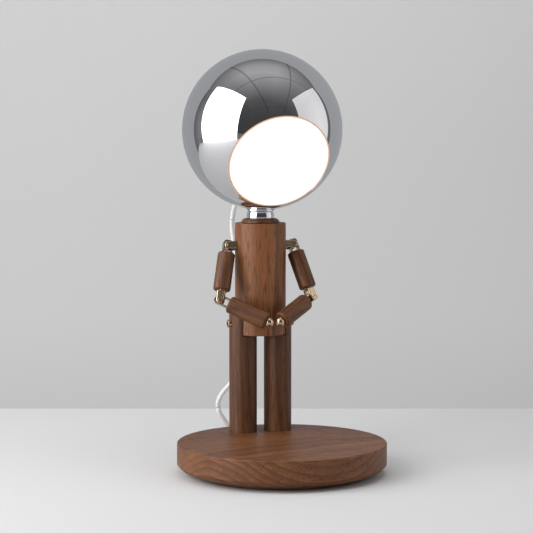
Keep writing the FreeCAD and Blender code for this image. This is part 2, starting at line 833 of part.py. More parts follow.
def brass_pin(name, place):
    """A tubular rivet: a hollow pin with a round head at each end, along Y."""
    reach = "strap_width / 2 + clevis_side_gap + clevis_plate"
    body = turned(
        name,
        [
            ("pin_bore_radius", f"-({reach} + pin_head)"),
            ("pin_head_radius - 0.2", f"-({reach} + pin_head)"),
            ("pin_head_radius", f"-({reach} + 0.2)"),
            ("pin_head_radius", f"-({reach})"),
            ("pin_radius - strap_fit / 2", f"-({reach})"),
            ("pin_radius - strap_fit / 2", reach),
            ("pin_head_radius", reach),
            ("pin_head_radius", reach + " + 0.2"),
            ("pin_head_radius - 0.2", reach + " + pin_head"),
            ("pin_bore_radius", reach + " + pin_head"),
        ],
    )
    turn = Placement(Vector(), Rotation(Vector(1, 0, 0), 90))
    return keep(body, place.multiply(turn))


def brass_strap(name, gap, place):
    """A bent strap whose closed end goes round a bush on the pin. Its two legs run into the wood."""
    strap = padded(
        name,
        "XZ_Plane",
        [
            ("-strap_span / 2", "-strap_end"),
            ("strap_span / 2", "-strap_end"),
            ("strap_span / 2", gap + " + strap_anchor"),
            ("-strap_span / 2", gap + " + strap_anchor"),
        ],
        "strap_width",
        midplane=True,
    )
    low = -size("strap_end")
    rounded(
        strap,
        name + "_bend",
        "strap_corner",
        lambda e: all(abs(v.Z - low) < 1e-4 for v in e.Vertexes) and abs(e.Vertexes[0].X - e.Vertexes[-1].X) < 1e-4,
    )
    inside = outline(
        strap,
        name + "_window",
        "XZ_Plane",
        [
            ("strap_thickness - strap_span / 2", "strap_thickness - strap_end"),
            ("strap_span / 2 - strap_thickness", "strap_thickness - strap_end"),
            ("strap_span / 2 - strap_thickness", gap + " + strap_anchor + 1"),
            ("strap_thickness - strap_span / 2", gap + " + strap_anchor + 1"),
        ],
    )
    drill(strap, inside, "2 * strap_width", midplane=True)
    floor = size("strap_thickness") - size("strap_end")
    rounded(
        strap,
        name + "_inner_bend",
        "strap_corner - strap_thickness",
        lambda e: all(abs(v.Z - floor) < 1e-4 for v in e.Vertexes) and abs(e.Vertexes[0].X - e.Vertexes[-1].X) < 1e-4,
    )
    return keep(strap, place)


def brass_bush(name, place):
    """The bush inside a strap's closed end, turning on the pin."""
    bush = turned(
        name,
        [
            ("pin_radius + running_gap", "-strap_width / 2"),
            ("strap_span / 2 - strap_thickness", "-strap_width / 2"),
            ("strap_span / 2 - strap_thickness", "strap_width / 2"),
            ("pin_radius + running_gap", "strap_width / 2"),
        ],
    )
    return keep(bush, place.multiply(Placement(Vector(), Rotation(Vector(1, 0, 0), 90))))


def brass_socket(name, place):
    """A bush let into the wood in which a clevis shank turns. Its mouth is at the origin."""
    socket = turned(
        name,
        [
            ("shank_radius + running_gap", "-socket_length"),
            ("socket_radius - strap_fit", "-socket_length"),
            ("socket_radius - strap_fit", "0"),
            ("shank_radius + running_gap", "0"),
        ],
    )
    return keep(socket, place)


def wooden_limb(name, length, place, socket_end, peg_end):
    """A round walnut limb with slots for a strap's legs at its start."""
    limb = turned(name, [("0", "0"), ("arm_radius", "0"), ("arm_radius", length), ("0", length)])
    rounded(limb, name + "_edges", "arm_edge_round", lambda e: e.Curve.TypeId == "Part::GeomCircle")
    for side, word in ((-1, "a"), (1, "b")):
        slot = outline(
            limb,
            f"{name}_slot_{word}",
            "XY_Plane",
            [
                (f"{side} * (strap_span / 2 + strap_fit)", "-strap_width / 2 - strap_fit"),
                (f"{side} * (strap_span / 2 - strap_thickness - strap_fit)", "-strap_width / 2 - strap_fit"),
                (f"{side} * (strap_span / 2 - strap_thickness - strap_fit)", "strap_width / 2 + strap_fit"),
                (f"{side} * (strap_span / 2 + strap_fit)", "strap_width / 2 + strap_fit"),
            ],
        )
        drill(limb, slot, "strap_anchor + strap_fit", reverse=True)
    if socket_end:
        hole = round_outline(limb, name + "_socket", "XY_Plane", "socket_radius", [("0", "0")], length)
        drill(limb, hole, "socket_length + 1")
    if peg_end:
        dimple = primitive("Sphere", name + "_dimple", Radius="hand_radius")
        reach = worth(length) + size("hand_radius") - size("hand_seat")
        dimple.Placement = Placement(UP * reach, Rotation())
        peg = primitive("Cylinder", name + "_peg_hole", Radius="hand_peg_radius + strap_fit", Height="2 * hand_peg_length")
        peg.Placement = Placement(UP * (worth(length) - size("hand_peg_length")), Rotation())
        limb.Label = name + "_turned"
        limb = cut(name + "_drilled", limb, fuse(name + "_end_holes", dimple, peg))
        limb.Label = name
    return keep(limb, place)


# Arms: clevis, pin, strap and wood at the shoulder, and the same again at the elbow
for side, word in ((-1, "left"), (1, "right")):
    out = Vector(side, 0, 0)
    shoulder = torso_top - UP * size("shoulder_height") + out * size("shoulder_reach")
    pin_way = turned_about(FRONT, Vector(1, 0, 0), -size("arm_swing"))
    down = turned_about(UP * -1, Vector(1, 0, 0), -size("arm_swing"))
    raise_turn = side * size("arm_raise")
    arm_way = turned_about(down, pin_way, raise_turn)
    if arm_way.x * side < 0:
        arm_way = turned_about(down, pin_way, -raise_turn)
    elbow = shoulder + arm_way * size("upper_arm_pitch")
    elbow_pin = turned_about(pin_way, arm_way, -side * size("arm_twist"))
    forearm_way = turned_about(arm_way, elbow_pin, side * size("arm_bend"))
    if forearm_way.x * side > 0:
        forearm_way = turned_about(arm_way, elbow_pin, -side * size("arm_bend"))
    print(word, "shoulder", shoulder, "pin", pin_way, "arm", arm_way)
    print(word, "elbow", elbow, "pin", elbow_pin, "forearm", forearm_way)

    fork = frame(shoulder, out, pin_way)
    swung = frame(shoulder, arm_way, pin_way)
    brass_clevis(f"shoulder_clevis_{word}", fork)
    brass_pin(f"shoulder_pin_{word}", fork)
    torso_side = Vector(side * size("torso_radius"), shoulder.y, shoulder.z)
    brass_socket(f"shoulder_socket_{word}", frame(torso_side - out * 0.4, out, UP))
    brass_strap(f"upper_arm_strap_{word}", "shoulder_gap", swung)
    brass_bush(f"upper_arm_bush_{word}", swung)
    wood = "upper_arm_pitch - shoulder_gap - elbow_gap"
    wooden_limb(
        f"upper_arm_{word}",
        wood,
        frame(shoulder + arm_way * size("shoulder_gap"), arm_way, pin_way),
        socket_end=True,
        peg_end=False,
    )
    fork = frame(elbow, arm_way, elbow_pin)
    bent = frame(elbow, forearm_way, elbow_pin)
    brass_socket(
        f"elbow_socket_{word}", frame(elbow - arm_way * (size("elbow_gap") + 0.1), arm_way, elbow_pin)
    )
    brass_clevis(f"elbow_clevis_{word}", fork)
    brass_pin(f"elbow_pin_{word}", fork)
    brass_strap(f"forearm_strap_{word}", "elbow_gap", bent)
    brass_bush(f"forearm_bush_{word}", bent)
    wood = "forearm_pitch - elbow_gap - hand_radius + hand_seat"
    wooden_limb(
        f"forearm_{word}",
        wood,
        frame(elbow + forearm_way * size("elbow_gap"), forearm_way, elbow_pin),
        socket_end=False,
        peg_end=True,
    )
    ball = primitive("Sphere", f"hand_knob_{word}", Radius="hand_radius")
    peg = primitive(
        "Cylinder", f"hand_peg_{word}", Radius="hand_peg_radius", Height="hand_peg_length + hand_radius - hand_seat - 0.5"
    )
    peg.Placement = Placement(UP * -worth("hand_peg_length + hand_radius - hand_seat - 0.5"), Rotation())
    hand = elbow + forearm_way * size("forearm_pitch")
    keep(fuse(f"hand_ball_{word}", ball, peg), frame(hand, forearm_way, elbow_pin))
    print(word, "hand", hand)


# Cord: one round PVC lead, hanging from the gland, coiled behind the base, then switch and plug
def rounded_route(points, share=0.45):
    """Straight runs joined by tangent arcs, each as large as its two runs allow."""
    edges = []
    radii = []
    last = points[0]
    for before, corner, after in zip(points, points[1:], points[2:]):
        back = before - corner
        on = after - corner
        reach = share * min(back.Length, on.Length)
        half = (math.pi - back.getAngle(on)) / 2
        radius = reach / math.tan(half)
        radii.append(radius)
        start = corner + back.normalize() * reach
        end = corner + on.normalize() * reach
        bisector = (start + end) / 2 - corner
        deep = math.hypot(radius, reach) - radius
        middle = corner + bisector.normalize() * deep
        edges.append(Part.LineSegment(last, start).toShape())
        edges.append(Part.Arc(start, middle, end).toShape())
        last = end
    edges.append(Part.LineSegment(last, points[-1]).toShape())
    return Part.Wire(edges), radii


def tube(name, wire, radius):
    """A round tube along a wire, checked against its section times its length."""
    first = wire.Edges[0]
    start = first.valueAt(first.FirstParameter)
    way = first.tangentAt(first.FirstParameter)
    ring = Part.Wire([Part.makeCircle(radius, start, way)])
    solid = wire.makePipeShell([ring], True, False)
    wanted = math.pi * radius**2 * wire.Length
    print(name, "length %.1f volume ratio %.4f" % (wire.Length, solid.Volume / wanted))
    return solid


def biarc(start, way, end, far_way):
    """Two tangent arcs from one point and direction to another."""
    span = end - start
    ways = way + far_way
    a = 2 * (1 - way.dot(far_way))
    b = span.dot(ways) * 2
    c = -span.dot(span)
    reach = (-b + math.sqrt(b * b - 4 * a * c)) / (2 * a)
    first = start + way * reach
    second = end - far_way * reach
    joint = (first + second) / 2
    edges = []
    for low, corner, high in ((start, first, joint), (joint, second, end)):
        half = (math.pi - (low - corner).getAngle(high - corner)) / 2
        radius = (low - corner).Length / math.tan(half)
        deep = math.hypot(radius, (low - corner).Length) - radius
        middle = corner + ((low + high) / 2 - corner).normalize() * deep
        edges.append(Part.Arc(low, middle, high).toShape())
    return edges


DROP = [
    (-0.5, 155.5, 243.0),
    (-1.0, 160.5, 228.0),
    (2.0, 159.5, 207.0),
    (7.5, 157.5, 176.0),
    (11.0, 160.0, 142.0),
    (10.0, 162.5, 107.0),
    (4.0, 166.0, 77.0),
    (-16.0, 168.5, 50.0),
    (0.5, 173.7, 17.0),
    (23.6, 179.3, 3.6),
]
coil_middle = Vector(size("coil_x"), size("coil_y"), size("cord_radius") + size("tie_thickness") + 0.2)


def coil_point(turns):
    """A point of the coil: in along the lower layer, up in the middle half turn, out above."""
    u = turns - size("coil_turns") / 2
    inmost = size("coil_outer_radius") - size("coil_pitch") * size("coil_turns") / 2
    if abs(u) < 0.25:
        radius = inmost + size("coil_pitch") * (2 * u * u + 0.125)
        share = (u + 0.25) * 2
        lift = size("coil_layer_step") * share * share * (3 - 2 * share)
    else:
        radius = inmost + size("coil_pitch") * abs(u)
        lift = size("coil_layer_step") if u > 0 else 0.0
    angle = math.radians(size("coil_first_angle")) - 2 * math.pi * turns
    return coil_middle + Vector(radius * math.cos(angle), radius * math.sin(angle), lift)


def coil_way(turns):
    return (coil_point(turns + 1e-4) - coil_point(turns - 1e-4)).normalize()


turns = size("coil_turns")
stops = [turns / 2 - 0.25, turns / 2, turns / 2 + 0.25]
step = 0.25
low = stops[0]
while low - step > 0.1:
    low -= step
    stops.append(low)
    stops.append(turns - low)
stops = sorted(stops + [0.0, turns])
coil_edges = []
lead = 2 * size("cord_radius")
first = coil_point(0)
coil_edges.append(Part.LineSegment(first - coil_way(0) * lead, first).toShape())
for low, high in zip(stops, stops[1:]):
    coil_edges += biarc(coil_point(low), coil_way(low), coil_point(high), coil_way(high))
last = coil_point(turns)
coil_edges.append(Part.LineSegment(last, last + coil_way(turns) * lead).toShape())
coil_wire = Part.Wire(coil_edges)
coil_start = first - coil_way(0) * lead
coil_end = last + coil_way(turns) * lead
print("coil start", coil_start, coil_way(0), "end", coil_end, coil_way(turns))

samples = [coil_point(k / 60) for k in range(int(turns * 60))]
least = min(
    (a - b).Length
    for i, a in enumerate(samples)
    for b in samples[i + 20 :]
)
print("coil least gap to itself %.2f" % (least - 2 * size("cord_radius")))

relief_tip = head_middle + cord_way * worth(RELIEF_FOOT + " + relief_length")
print("relief tip", relief_tip)
drop_points = [relief_tip, relief_tip + cord_way * 11]
drop_points += [Vector(*spot) for spot in DROP]
drop_points.append(coil_start)
drop_wire, drop_radii = rounded_route(drop_points)
print("drop radii", [round(r, 1) for r in drop_radii])
keep(group("cord_drop", [tube("cord_drop", drop_wire, size("cord_radius"))]))
keep(group("cord_coil", [tube("cord_coil", coil_wire, size("cord_radius"))]))

# Tie: a flat band round all the turns
tie_angle = math.radians(size("tie_angle"))
tie_way = Vector(math.cos(tie_angle), math.sin(tie_angle), 0)
passes = [
    (size("coil_first_angle") - size("tie_angle")) / 360 + k for k in range(1, int(turns) + 1)
]
reaches = [(coil_point(k) - coil_middle).dot(tie_way) for k in passes if 0 <= k <= turns]
inside = min(reaches) - size("cord_radius") - 0.6
outside = max(reaches) + size("cord_radius") + 0.6
tie_top = size("coil_layer_step") + 2 * size("cord_radius") + 0.6
tie_frame = Placement(
    Vector(coil_middle.x, coil_middle.y, 0), Rotation(UP, size("tie_angle"))
)
band = size("tie_thickness")
outer = Part.makeBox(
    outside - inside + 2 * band, size("tie_width"), tie_top + 2 * band, Vector(inside - band, -size("tie_width") / 2, 0)
)
outer = outer.makeFillet(2.0, [e for e in outer.Edges if abs(e.BoundBox.YLength - size("tie_width")) < 1e-6])
hollow = Part.makeBox(outside - inside, size("tie_width") + 2, tie_top, Vector(inside, -size("tie_width") / 2 - 1, band))
hollow = hollow.makeFillet(1.2, [e for e in hollow.Edges if abs(e.BoundBox.YLength - size("tie_width") - 2) < 1e-6])
keep(group("coil_tie", [outer.cut(hollow)]), tie_frame)

# Switch: a rounded case with a rocker on a pin, lying along the lead
lead_end = coil_end + coil_way(turns) * size("switch_start")
lead_way = coil_way(turns)
switch_turn = Rotation(Vector(-1, 0, 0), lead_way)
switch_middle = lead_end + lead_way * size("switch_length") / 2
switch_middle.z = 0
switch_case = padded(
    "switch_case",
    "XY_Plane",
    [
        ("-switch_length / 2", "-switch_width / 2"),
        ("switch_length / 2", "-switch_width / 2"),
        ("switch_length / 2", "switch_width / 2"),
        ("-switch_length / 2", "switch_width / 2"),
    ],
    "switch_height",
)
rounded(
    switch_case,
    "switch_corners",
    "2 * switch_round",
    lambda e: abs(e.Vertexes[0].Z - e.Vertexes[-1].Z) > 1,
)
rounded(switch_case, "switch_top_edge", "switch_round", at_height("switch_height"))
well = outline(
    switch_case,
    "rocker_well",
    "XY_Plane",
    [
        ("-rocker_length / 2 - rocker_gap", "-rocker_width / 2 - rocker_gap"),
        ("rocker_length / 2 + rocker_gap", "-rocker_width / 2 - rocker_gap"),
        ("rocker_length / 2 + rocker_gap", "rocker_width / 2 + rocker_gap"),
        ("-rocker_length / 2 - rocker_gap", "rocker_width / 2 + rocker_gap"),
    ],
    "switch_height + 1",
)
drill(switch_case, well, "9")
pin_level = "switch_height - 3.2"
axle = round_outline(switch_case, "rocker_axle_hole", "XZ_Plane", "1.06", [("0", pin_level)])
drill(switch_case, axle, "rocker_width + 6", midplane=True)
keep(switch_case, Placement(switch_middle, switch_turn))
rocker = padded(
    "switch_rocker",
    "XZ_Plane",
    [
        ("-rocker_length / 2 + 1.2", "-3.4"),
        ("rocker_length / 2 - 1.2", "-3.4"),
        ("rocker_length / 2 - 0.2", "3.2 + rocker_proud"),
        ("0", "3.2 + 0.25 * rocker_proud"),
        ("-rocker_length / 2 + 0.2", "3.2 + rocker_proud"),
    ],
    "rocker_width",
    midplane=True,
)
boss = round_outline(rocker, "rocker_axle", "XZ_Plane", "1", [("0", "0")])
drill(rocker, boss, "rocker_width + 5", midplane=True, grow=True)
rocker_spot = Vector(switch_middle.x, switch_middle.y, worth(pin_level))
rocker_tilt = Rotation(Vector(0, 1, 0), size("rocker_throw"))
keep(rocker, Placement(rocker_spot, switch_turn.multiply(rocker_tilt)))
print("rocker axle", rocker_spot, switch_turn.multVec(Vector(0, 1, 0)))

# Leads between coil, switch and plug
short = Part.Wire([Part.LineSegment(coil_end, lead_end).toShape()])
keep(group("cord_switch_lead", [tube("cord_switch_lead", short, size("cord_radius"))]))
left_end = lead_end + lead_way * size("switch_length")
PLUG_LEAD = [
    (0, 0, 0),
    (-15.4, 0, 0),
    (-25.4, 11.7, -1.3),
    (-23.1, 26.9, -2.3),
    (-10.0, 35.1, -2.3),
]
plug_points = [left_end + switch_turn.multVec(Vector(*spot)) for spot in PLUG_LEAD]
plug_wire, plug_radii = rounded_route(plug_points)
print("plug lead radii", [round(r, 1) for r in plug_radii])
keep(group("cord_plug_lead", [tube("cord_plug_lead", plug_wire, size("cord_radius"))]))

# Plug: a moulded two-pin body that narrows to its strain relief
plug_root = plug_points[-1]
plug_frame = frame(plug_root, plug_points[-1] - plug_points[-2], UP)
stations = [
    (0.0, size("cord_radius") + 1.4, size("cord_radius") + 1.4),
    (0.34, size("cord_radius") + 2.2, size("cord_radius") + 2.0),
    (0.6, size("plug_width") / 2 - 1, size("plug_height") / 2 - 0.6),
    (1.0, size("plug_width") / 2, size("plug_height") / 2),
]
sections = []
for share, wide, tall in stations:
    level = share * size("plug_length")
    corners = [Vector(wide, tall, level), Vector(-wide, tall, level), Vector(-wide, -tall, level), Vector(wide, -tall, level)]
    square = Part.makePolygon(corners + corners[:1])
    face = Part.Face(square)
    soft = face.extrude(Vector(0, 0, 1))
    soft = soft.makeFillet(min(wide, tall) * 0.85, [e for e in soft.Edges if abs(e.BoundBox.ZLength - 1) < 1e-6])
    wire = min(soft.Faces, key=lambda f: f.CenterOfMass.z).OuterWire
    sections.append(wire)
plug_body = Part.makeLoft(sections, True, True)
keep(group("plug_body", [plug_body]), plug_frame)
pins = []
for side in (-1, 1):
    foot = Vector(side * size("plug_pin_spacing") / 2, 0, size("plug_length"))
    sleeve = Part.makeCylinder(size("plug_pin_radius") - 0.2, 10, foot)
    tip = Part.makeCylinder(size("plug_pin_radius"), size("plug_pin_length") - 10, foot + UP * 10)
    tip = tip.makeFillet(1.2, [e for e in tip.Edges if abs(e.CenterOfMass.z - foot.z - size("plug_pin_length")) < 1e-3])
    pins.append(sleeve.fuse(tip))
keep(group("plug_pins", pins), plug_frame)
print("ball middle", ball_middle, "head middle", head_middle)


def write_parts():
    doc.recompute()
    for thing in doc.Objects:
        if "Invalid" in thing.State or "Error" in thing.State:
            raise ValueError(f"{thing.Name} failed: {thing.State}")
    for thing in parts:
        shape = thing.Shape
        if shape.isNull() or not shape.isValid():
            raise ValueError(f"{thing.Label} has no valid shape")
    os.makedirs("parts", exist_ok=True)
    for thing in parts:
        thing.Shape.exportStep(f"parts/{thing.Label}.step")
    print(len(parts), "parts written")


write_parts()
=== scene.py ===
import math

import bmesh
import bpy
from mathutils import Matrix, Vector


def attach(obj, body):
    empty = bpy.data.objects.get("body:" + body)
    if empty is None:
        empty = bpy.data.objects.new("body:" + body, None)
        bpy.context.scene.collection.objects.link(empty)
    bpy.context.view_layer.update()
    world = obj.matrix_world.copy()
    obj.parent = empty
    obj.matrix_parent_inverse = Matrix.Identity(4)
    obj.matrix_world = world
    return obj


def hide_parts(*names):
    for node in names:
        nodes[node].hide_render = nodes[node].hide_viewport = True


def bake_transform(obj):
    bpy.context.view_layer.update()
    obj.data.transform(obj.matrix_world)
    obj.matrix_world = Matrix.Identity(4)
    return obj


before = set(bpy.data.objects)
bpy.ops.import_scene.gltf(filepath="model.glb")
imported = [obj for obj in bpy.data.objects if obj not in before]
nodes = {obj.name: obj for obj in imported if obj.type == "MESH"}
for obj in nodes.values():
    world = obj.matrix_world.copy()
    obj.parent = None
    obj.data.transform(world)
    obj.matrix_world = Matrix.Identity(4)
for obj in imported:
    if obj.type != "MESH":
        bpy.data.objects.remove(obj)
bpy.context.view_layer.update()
bpy.ops.object.select_all(action="DESELECT")
scene = bpy.context.scene

# Places shared with the frame, in metres
BALL = Vector((0.0, 0.0667, 0.2418))
BALL_RADIUS = 0.0135
BALL_FLAT = 0.0128
HEAD = Vector((0.0, 0.0606, 0.3262))
HEAD_RADIUS = 0.078
SHELL_WALL = 0.0012
NECK_HOLE = 0.0133
NECK_HOLE_UP = 0.007
CORD_HOLE = 0.0057
HOLE_DEPTH = 0.02
UP = Vector((0, 0, 1))
NECK_WAY = (HEAD - BALL).normalized()
FACE_WAY = Vector((0.0, -math.cos(math.radians(30)), -math.sin(math.radians(30))))
FACE_DEPTH = 0.0599
CORD_WAY = Vector((0.0, math.cos(math.radians(40)), -math.sin(math.radians(40))))
CORD_THICK = 0.005
CORD_STRAIGHT = 0.011
SWITCH_LEAD = 0.024
SWITCH_LENGTH = 0.050

# Where the hanging cord passes from one body to the next
NOD_LEVEL = 0.2340
TURN_LEVEL = 0.1480
STAND_LEVEL = 0.0400

# Camera, fitted to the base's rims and the head
SENSOR_WIDTH = 36.0
LENS = 119.6
EYE = (-0.5328, -1.5828, 0.3309)
LOOK_DOWN = 4.57
LOOK_RIGHT = 18.10


def camera():
    data = bpy.data.cameras.new("camera")
    data.sensor_width = SENSOR_WIDTH
    data.lens = LENS
    data.clip_start = 0.05
    data.clip_end = 20.0
    eye = bpy.data.objects.new("camera", data)
    scene.collection.objects.link(eye)
    eye.location = EYE
    eye.rotation_euler = (math.radians(90 - LOOK_DOWN), 0.0, math.radians(-LOOK_RIGHT))
    scene.camera = eye


camera()

# Cord: one route from the strain relief to the coil's end
DROP = [
    (-0.0005, 0.1555, 0.2430),
    (-0.0010, 0.1605, 0.2280),
    (0.0020, 0.1595, 0.2070),
    (0.0075, 0.1575, 0.1760),
    (0.0110, 0.1600, 0.1420),
    (0.0110, 0.1625, 0.1000),
    (0.0065, 0.1660, 0.0690),
    (-0.0190, 0.1685, 0.0430),
    (0.0005, 0.1737, 0.0140),
    (0.0236, 0.1793, 0.0036),
]
PLUG_LEAD = [
    (0.0, 0.0, 0.0),
    (-0.0154, 0.0, 0.0),
    (-0.0254, 0.0117, -0.0013),
    (-0.0231, 0.0269, -0.0023),
    (-0.0100, 0.0351, -0.0023),
]
COIL_TURNS = 6.5417
COIL_PITCH = 0.0056
COIL_STEP = 0.0055
COIL_REACH = 0.0365
COIL_FIRST = math.radians(105.0)
COIL_MIDDLE = Vector((0.0535, 0.1490, 0.0036))
STEPS_A_TURN = 16


def coil_point(turns):
    """A point of the coil: in along the lower layer, up in the middle half turn, out above."""
    u = turns - COIL_TURNS / 2
    inmost = COIL_REACH - COIL_PITCH * COIL_TURNS / 2
    if abs(u) < 0.25:
        radius = inmost + COIL_PITCH * (2 * u * u + 0.125)
        share = (u + 0.25) * 2
        lift = COIL_STEP * share * share * (3 - 2 * share)
    else:
        radius = inmost + COIL_PITCH * abs(u)
        lift = COIL_STEP if u > 0 else 0.0
    radius += 0.0002
    angle = COIL_FIRST - 2 * math.pi * turns
    return COIL_MIDDLE + Vector((radius * math.cos(angle), radius * math.sin(angle), lift))


def coil_way(turns):
    return (coil_point(turns + 1e-4) - coil_point(turns - 1e-4)).normalized()


def cord_line(name, points):
    """The smooth line of a cord, read off a spline with these control points."""
    data = bpy.data.curves.new(name, "CURVE")
    data.dimensions = "3D"
    data.resolution_u = 8
    spline = data.splines.new("NURBS")
    spline.points.add(len(points) - 1)
    for spot, at in zip(spline.points, points):
        spot.co = (*at, 1.0)
    spline.order_u = 3
    spline.use_endpoint_u = True
    guide = bpy.data.objects.new(name, data)
    scene.collection.objects.link(guide)
    bpy.context.view_layer.update()
    read = bpy.data.meshes.new_from_object(guide)
    line = [vertex.co.copy() for vertex in read.vertices]
    bpy.data.objects.remove(guide)
    bpy.data.curves.remove(data)
    bpy.data.meshes.remove(read)
    return line


def cord_tube(name, line, radius=CORD_THICK / 2, sides=20):
    """A closed round tube along the line; its map runs along the cord in metres."""
    shape = bmesh.new()
    way = (line[1] - line[0]).normalized()
    side = way.orthogonal().normalized()
    rings = []
    for k, spot in enumerate(line):
        ahead = line[min(k + 1, len(line) - 1)] - line[max(k - 1, 0)]
        ahead.normalize()
        side = (side - ahead * side.dot(ahead)).normalized()
        across = ahead.cross(side)
        rings.append(
            [
                shape.verts.new(
                    spot
                    + side * radius * math.cos(2 * math.pi * n / sides)
                    + across * radius * math.sin(2 * math.pi * n / sides)
                )
                for n in range(sides)
            ]
        )
    chart = shape.loops.layers.uv.new("along")
    far = 0.0
    for k, (low, high) in enumerate(zip(rings, rings[1:])):
        step = (line[k + 1] - line[k]).length
        for n in range(sides):
            m = (n + 1) % sides
            face = shape.faces.new((low[n], low[m], high[m], high[n]))
            face.smooth = True
            spots = [(n, far), (n + 1, far), (n + 1, far + step), (n, far + step)]
            for loop, (u, v) in zip(face.loops, spots):
                loop[chart].uv = (u / sides, v)
        far += step
    shape.faces.new(list(reversed(rings[0])))
    shape.faces.new(rings[-1])
    mesh = bpy.data.meshes.new(name)
    shape.to_mesh(mesh)
    shape.free()
    piece = bpy.data.objects.new(name, mesh)
    scene.collection.objects.link(piece)
    return piece


relief_tip = Vector((0.0, 0.13828, 0.26102))
coil_start = coil_point(0) - coil_way(0) * CORD_THICK
coil_end = coil_point(COIL_TURNS) + coil_way(COIL_TURNS) * CORD_THICK
lead_way = coil_way(COIL_TURNS)
switch_in = coil_end + lead_way * SWITCH_LEAD
switch_out = switch_in + lead_way * SWITCH_LENGTH
route = [relief_tip, relief_tip + CORD_WAY * CORD_STRAIGHT]
route += [Vector(spot) for spot in DROP]
route.append(coil_start)
wound = int(COIL_TURNS * STEPS_A_TURN)
route += [coil_point(COIL_TURNS * k / wound) for k in range(wound + 1)]
route += [coil_end, coil_end + lead_way * SWITCH_LEAD / 2, switch_in]
line = cord_line("cord_route", route)


def cut_at(line, level):
    """Where the falling line first passes below a level."""
    return next(k for k, spot in enumerate(line) if spot.z < level)


levels = (NOD_LEVEL, TURN_LEVEL, STAND_LEVEL)
marks = [0, *(cut_at(line, level) for level in levels), len(line) - 1]
spans = [line[a : b + 1] for a, b in zip(marks, marks[1:])]
cord_names = ["cord_top", "cord_upper", "cord_lower", "cord_coiled"]
cords = [cord_tube(name, span) for name, span in zip(cord_names, spans)]
turned_lead = Matrix.Rotation(math.atan2(-lead_way.y, -lead_way.x), 3, "Z")
plug_route = [switch_out + turned_lead @ Vector(spot) for spot in PLUG_LEAD]
plug_line = cord_line("plug_route", plug_route)
cords.append(cord_tube("cord_to_plug", plug_line))
spans.append(plug_line)


# Materials
class Finish:
    """A material with short ways to add and join its nodes."""

    def __init__(self, name):
        self.material = bpy.data.materials.new(name)
        self.material.use_nodes = True
        self.tree = self.material.node_tree
        self.surface = self.tree.nodes["Principled BSDF"]
        self.coordinates = self.tree.nodes.new("ShaderNodeTexCoord").outputs["Object"]

    def add(self, kind, **values):
        node = self.tree.nodes.new("ShaderNode" + kind)
        for word, value in values.items():
            setattr(node, word, value)
        return node

    def join(self, source, target):
        self.tree.links.new(source, target)

    def set(self, **values):
        for word, value in values.items():
            self.surface.inputs[word.replace("_", " ")].default_value = value

    def placed(self, way=Vector((0, 0, 1)), middle=Vector(), stretch=(1, 1, 1), source=None):
        """Coordinates with their Z along way, from middle, scaled by stretch."""
        turn = self.add("Mapping", vector_type="TEXTURE")
        turn.inputs["Location"].default_value = middle
        turn.inputs["Rotation"].default_value = way.to_track_quat("Z", "X").to_euler()
        self.join(source or self.coordinates, turn.inputs["Vector"])
        if tuple(stretch) == (1, 1, 1):
            return turn.outputs["Vector"]
        scale = self.add("Mapping")
        scale.inputs["Scale"].default_value = stretch
        self.join(turn.outputs["Vector"], scale.inputs["Vector"])
        return scale.outputs["Vector"]

    def noise(self, vector, scale, detail=3.0, rough=0.55, distortion=0.0):
        node = self.add("TexNoise")
        node.inputs["Scale"].default_value = scale
        node.inputs["Detail"].default_value = detail
        node.inputs["Roughness"].default_value = rough
        node.inputs["Distortion"].default_value = distortion
        self.join(vector, node.inputs["Vector"])
        return node.outputs["Fac"]

    def ramp(self, value, stops):
        node = self.add("ValToRGB")
        band = node.color_ramp
        while len(band.elements) < len(stops):
            band.elements.new(0.5)
        for element, (at, colour) in zip(band.elements, stops):
            element.position = at
            if isinstance(colour, (int, float)):
                colour = (colour, colour, colour)
            element.color = (*colour, 1.0)
        self.join(value, node.inputs["Fac"])
        return node.outputs["Color"]

    def mix(self, share, a, b, blend="MIX"):
        node = self.add("Mix", data_type="RGBA", blend_type=blend)
        for value, socket in ((share, node.inputs[0]), (a, node.inputs[6]), (b, node.inputs[7])):
            if isinstance(value, bpy.types.NodeSocket):
                self.join(value, socket)
            elif isinstance(value, tuple):
                socket.default_value = (*value, 1.0)
            else:
                socket.default_value = value
        return node.outputs[2]

    def spread(self, value, low, high, out_low, out_high):
        node = self.add("MapRange")
        for k, number in enumerate((low, high, out_low, out_high)):
            node.inputs[k + 1].default_value = number
        self.join(value, node.inputs[0])
        return node.outputs[0]

    def sum(self, a, b, operation="ADD"):
        node = self.add("Math", operation=operation)
        for value, socket in ((a, node.inputs[0]), (b, node.inputs[1])):
            if isinstance(value, bpy.types.NodeSocket):
                self.join(value, socket)
            else:
                socket.default_value = value
        return node.outputs[0]

    def raised(self, height, distance, strength=1.0):
        node = self.add("Bump")
        node.inputs["Distance"].default_value = distance
        node.inputs["Strength"].default_value = strength
        self.join(height, node.inputs["Height"])
        self.join(node.outputs["Normal"], self.surface.inputs["Normal"])


